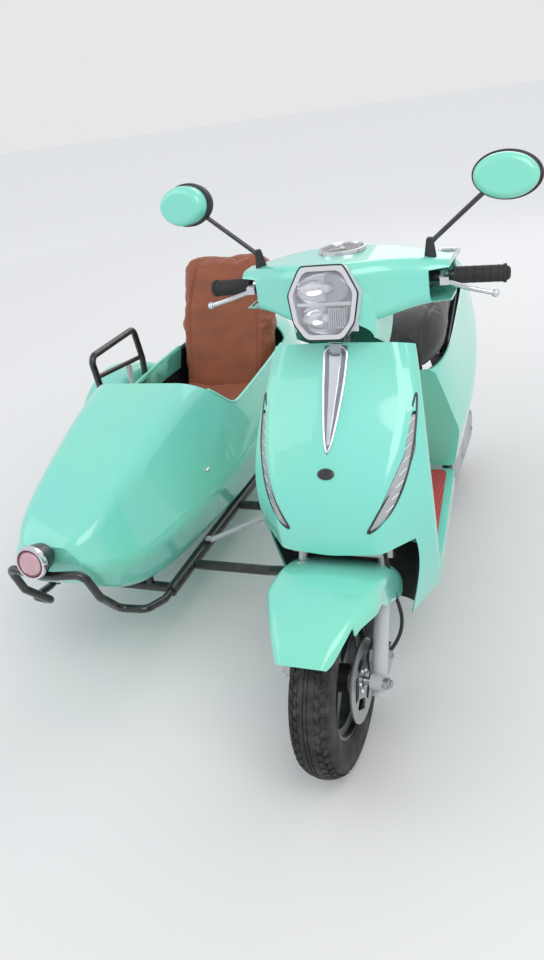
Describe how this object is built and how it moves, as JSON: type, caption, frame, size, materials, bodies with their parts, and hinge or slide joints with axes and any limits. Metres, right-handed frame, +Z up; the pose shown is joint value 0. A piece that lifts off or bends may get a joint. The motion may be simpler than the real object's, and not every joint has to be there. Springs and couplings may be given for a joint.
{
  "type": "sidecar motorcycle",
  "caption": "Retro step-through scooter with leg shield, cowled round headlight and long saddle, joined to a boat-shaped sidecar with a padded leather seat and its own wheel.",
  "frame": {"origin": "on the ground, below the middle of the vehicle's box", "axes": "-Y is the direction of travel, +Z is up, and the sidecar lies towards -X"},
  "size_m": [1.5838, 1.9049, 1.2149],
  "materials": {
    "mint_paint": "gloss",
    "black_paint": "gloss",
    "silver_paint": "satin",
    "chrome": "polished",
    "steel": "brushed",
    "black_rubber": "matte",
    "tyre": "matte",
    "black_plastic": "matte",
    "lens": "clear",
    "smoke_lens": "clear",
    "red_lens": "clear",
    "pink_lens": "clear",
    "red_mat": "matte",
    "brown_leather": "satin",
    "black_vinyl": "satin",
    "dial": "gloss"
  },
  "bodies": {
    "vehicle": {"chrome_tie": "chrome", "drive_unit": "silver_paint", "fender_stays": "black_paint", "floor_mat": "red_mat", "floor_pan": "mint_paint", "frame_tubes": "black_paint", "grab_rail": "chrome", "inner_shield": "mint_paint", "leg_shield": "mint_paint", "link_tubes": "black_paint", "nose_lamp": "pink_lens", "nose_lamp_housing": "black_plastic", "rear_body": "mint_paint", "rear_mudguard": "black_plastic", "rear_shocks": "chrome", "sidecar_arm": "black_paint", "sidecar_axle": "steel", "sidecar_backrest": "brown_leather", "sidecar_body": "mint_paint", "sidecar_bumper": "black_paint", "sidecar_chassis": "black_paint", "sidecar_cushion": "brown_leather", "sidecar_fender": "mint_paint", "sidecar_handle": "black_paint", "sidecar_liner": "black_plastic", "sidecar_seat_base": "black_plastic", "signal_lamps": "smoke_lens", "silencer": "steel", "tail_lamp": "red_lens", "wheel_arch_liner": "black_plastic"},
    "steering": {"fork_lowers": "silver_paint", "fork_yoke": "steel", "front_axle": "steel", "brake_caliper": "silver_paint", "front_fender": "mint_paint", "handlebar": "black_paint", "handlebar_cowl": "mint_paint", "headlight_bezel": "chrome", "headlight_lens": "lens", "instrument": "dial", "grips": "black_rubber", "brake_levers": "silver_paint", "mirror_stems": "black_paint", "mirror_heads": "mint_paint"},
    "front_wheel": {"front_tyre": "tyre", "front_rim": "black_paint", "brake_disc": "steel"},
    "rear_wheel": {"rear_tyre": "tyre", "rear_rim": "black_paint"},
    "sidecar_wheel": {"sidecar_tyre": "tyre", "sidecar_rim": "black_paint"},
    "seat": {"saddle": "black_vinyl"}
  },
  "joints": [
    {"name": "steering", "type": "hinge", "parent": "vehicle", "child": "steering", "pos_m": [0.398, -0.5151, 0.6292], "axis": [0, 0.4384, 0.8988], "range_deg": [-35, 35]},
    {"name": "front_wheel_spin", "type": "hinge", "parent": "steering", "child": "front_wheel", "pos_m": [0.398, -0.742, 0.215], "axis": [1, 0, 0], "continuous": true},
    {"name": "rear_wheel_spin", "type": "hinge", "parent": "vehicle", "child": "rear_wheel", "pos_m": [0.398, 0.558, 0.215], "axis": [1, 0, 0], "continuous": true},
    {"name": "sidecar_wheel_spin", "type": "hinge", "parent": "vehicle", "child": "sidecar_wheel", "pos_m": [-0.717, 0.378, 0.215], "axis": [1, 0, 0], "continuous": true},
    {"name": "saddle_hinge", "type": "hinge", "parent": "vehicle", "child": "seat", "pos_m": [0.398, -0.07, 0.652], "axis": [1, 0, 0], "range_deg": [0, 70]}
  ]
}
